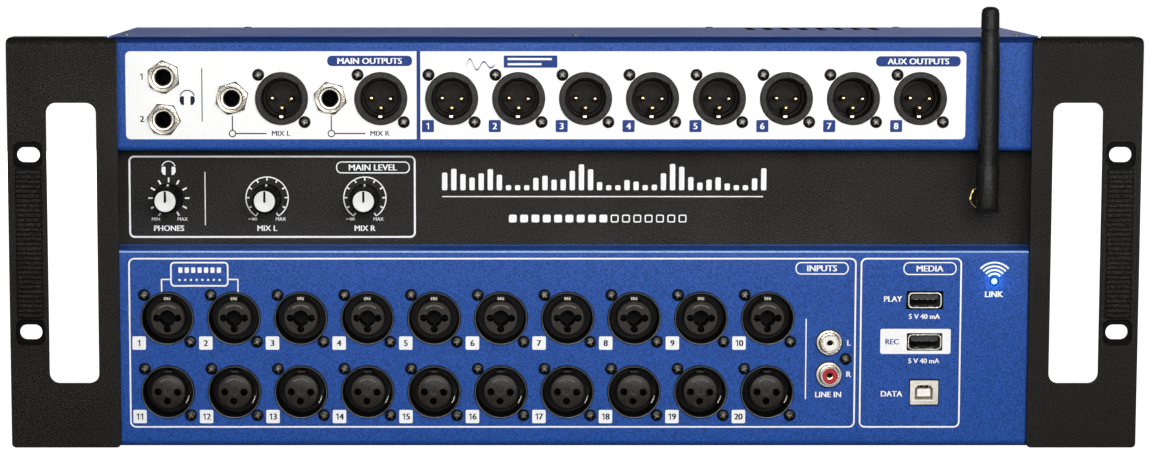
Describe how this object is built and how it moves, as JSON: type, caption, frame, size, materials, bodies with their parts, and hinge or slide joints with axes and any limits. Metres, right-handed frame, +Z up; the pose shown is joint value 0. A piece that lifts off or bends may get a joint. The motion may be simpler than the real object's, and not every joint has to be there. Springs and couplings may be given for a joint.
{
  "type": "rack-mount wireless stage mixer",
  "caption": "Four-unit rack-mount stage mixer chassis with three-pole and jack receptacles, recessed rotary controls, data ports, rack ears with handles and one hinged aerial.",
  "frame": {"origin": "on the surface that the unit stands on, under the middle of its overall box", "axes": "+X to the right seen from the front, along the nineteen-inch width; +Y from the connector face to the back; +Z up"},
  "size_m": [0.4826, 0.124, 0.189],
  "materials": {
    "blue_paint": "fine powder coat, satin",
    "cover_paint": "fine powder coat, satin",
    "black_paint": "fine powder coat, matt",
    "receptacle_plastic": "glass-filled nylon, semi-matt",
    "nickel": "bright nickel plate",
    "white_plastic": "glossy",
    "lamp_lens": "clear tinted, lit",
    "board": "solder mask",
    "knob_plastic": "satin",
    "gold": "gold flash, bright",
    "antenna_rubber": "satin",
    "fitting_plastic": "satin",
    "case_steel": "tin plated"
  },
  "bodies": {
    "chassis": {"front_panel": "blue_paint", "top_cover": "cover_paint", "bottom_tray": "cover_paint", "rear_panel": "cover_paint", "rack_ear_left": "black_paint", "rack_ear_right": "black_paint", "xlr_out_mix_l": "receptacle_plastic", "xlr_out_mix_r": "receptacle_plastic", "xlr_out_1": "receptacle_plastic", "xlr_out_2": "receptacle_plastic", "xlr_out_3": "receptacle_plastic", "xlr_out_4": "receptacle_plastic", "xlr_out_5": "receptacle_plastic", "xlr_out_6": "receptacle_plastic", "xlr_out_7": "receptacle_plastic", "xlr_out_8": "receptacle_plastic", "combo_in_1": "receptacle_plastic", "combo_in_2": "receptacle_plastic", "combo_in_3": "receptacle_plastic", "combo_in_4": "receptacle_plastic", "combo_in_5": "receptacle_plastic", "combo_in_6": "receptacle_plastic", "combo_in_7": "receptacle_plastic", "combo_in_8": "receptacle_plastic", "combo_in_9": "receptacle_plastic", "combo_in_10": "receptacle_plastic", "xlr_in_11": "receptacle_plastic", "xlr_in_12": "receptacle_plastic", "xlr_in_13": "receptacle_plastic", "xlr_in_14": "receptacle_plastic", "xlr_in_15": "receptacle_plastic", "xlr_in_16": "receptacle_plastic", "xlr_in_17": "receptacle_plastic", "xlr_in_18": "receptacle_plastic", "xlr_in_19": "receptacle_plastic", "xlr_in_20": "receptacle_plastic", "phones_jack_1": "nickel", "phones_jack_2": "nickel", "mix_jack_l": "nickel", "mix_jack_r": "nickel", "play_port": "nickel", "record_port": "nickel", "host_port": "nickel", "line_in_phono": "white_plastic", "wifi_lamp": "lamp_lens", "control_board": "board", "main_board": "board", "output_board": "board", "input_board": "board", "antenna_socket": "gold", "power_inlet": "fitting_plastic", "switch_frame": "fitting_plastic", "network_port": "case_steel", "power_supply": "case_steel"},
    "phones_knob": {"phones_knob": "knob_plastic"},
    "mix_l_knob": {"mix_l_knob": "knob_plastic"},
    "mix_r_knob": {"mix_r_knob": "knob_plastic"},
    "antenna_elbow": {"antenna_elbow": "antenna_rubber"},
    "antenna_mast": {"antenna_mast": "antenna_rubber"},
    "power_rocker": {"power_rocker": "fitting_plastic"}
  },
  "joints": [
    {"name": "phones_knob_turn", "type": "hinge", "parent": "chassis", "child": "phones_knob", "pos_m": [-0.1749, -0.03935, 0.1058], "axis": [0, 1, 0], "range_deg": [-150, 150]},
    {"name": "mix_l_knob_turn", "type": "hinge", "parent": "chassis", "child": "mix_l_knob", "pos_m": [-0.1324, -0.03935, 0.1058], "axis": [0, 1, 0], "range_deg": [-150, 150]},
    {"name": "mix_r_knob_turn", "type": "hinge", "parent": "chassis", "child": "mix_r_knob", "pos_m": [-0.0901, -0.03935, 0.1058], "axis": [0, 1, 0], "range_deg": [-150, 150]},
    {"name": "antenna_swivel", "type": "hinge", "parent": "chassis", "child": "antenna_elbow", "pos_m": [0.1763, -0.04735, 0.1061], "axis": [0, 1, 0], "range_deg": [-95, 10]},
    {"name": "antenna_tilt", "type": "hinge", "parent": "antenna_elbow", "child": "antenna_mast", "pos_m": [0.1763, -0.05735, 0.1061], "axis": [1, 0, 0], "range_deg": [0, 90]},
    {"name": "power_rocker_press", "type": "hinge", "parent": "chassis", "child": "power_rocker", "pos_m": [-0.112, 0.05925, 0.118], "axis": [1, 0, 0], "range_deg": [0, 24]}
  ]
}
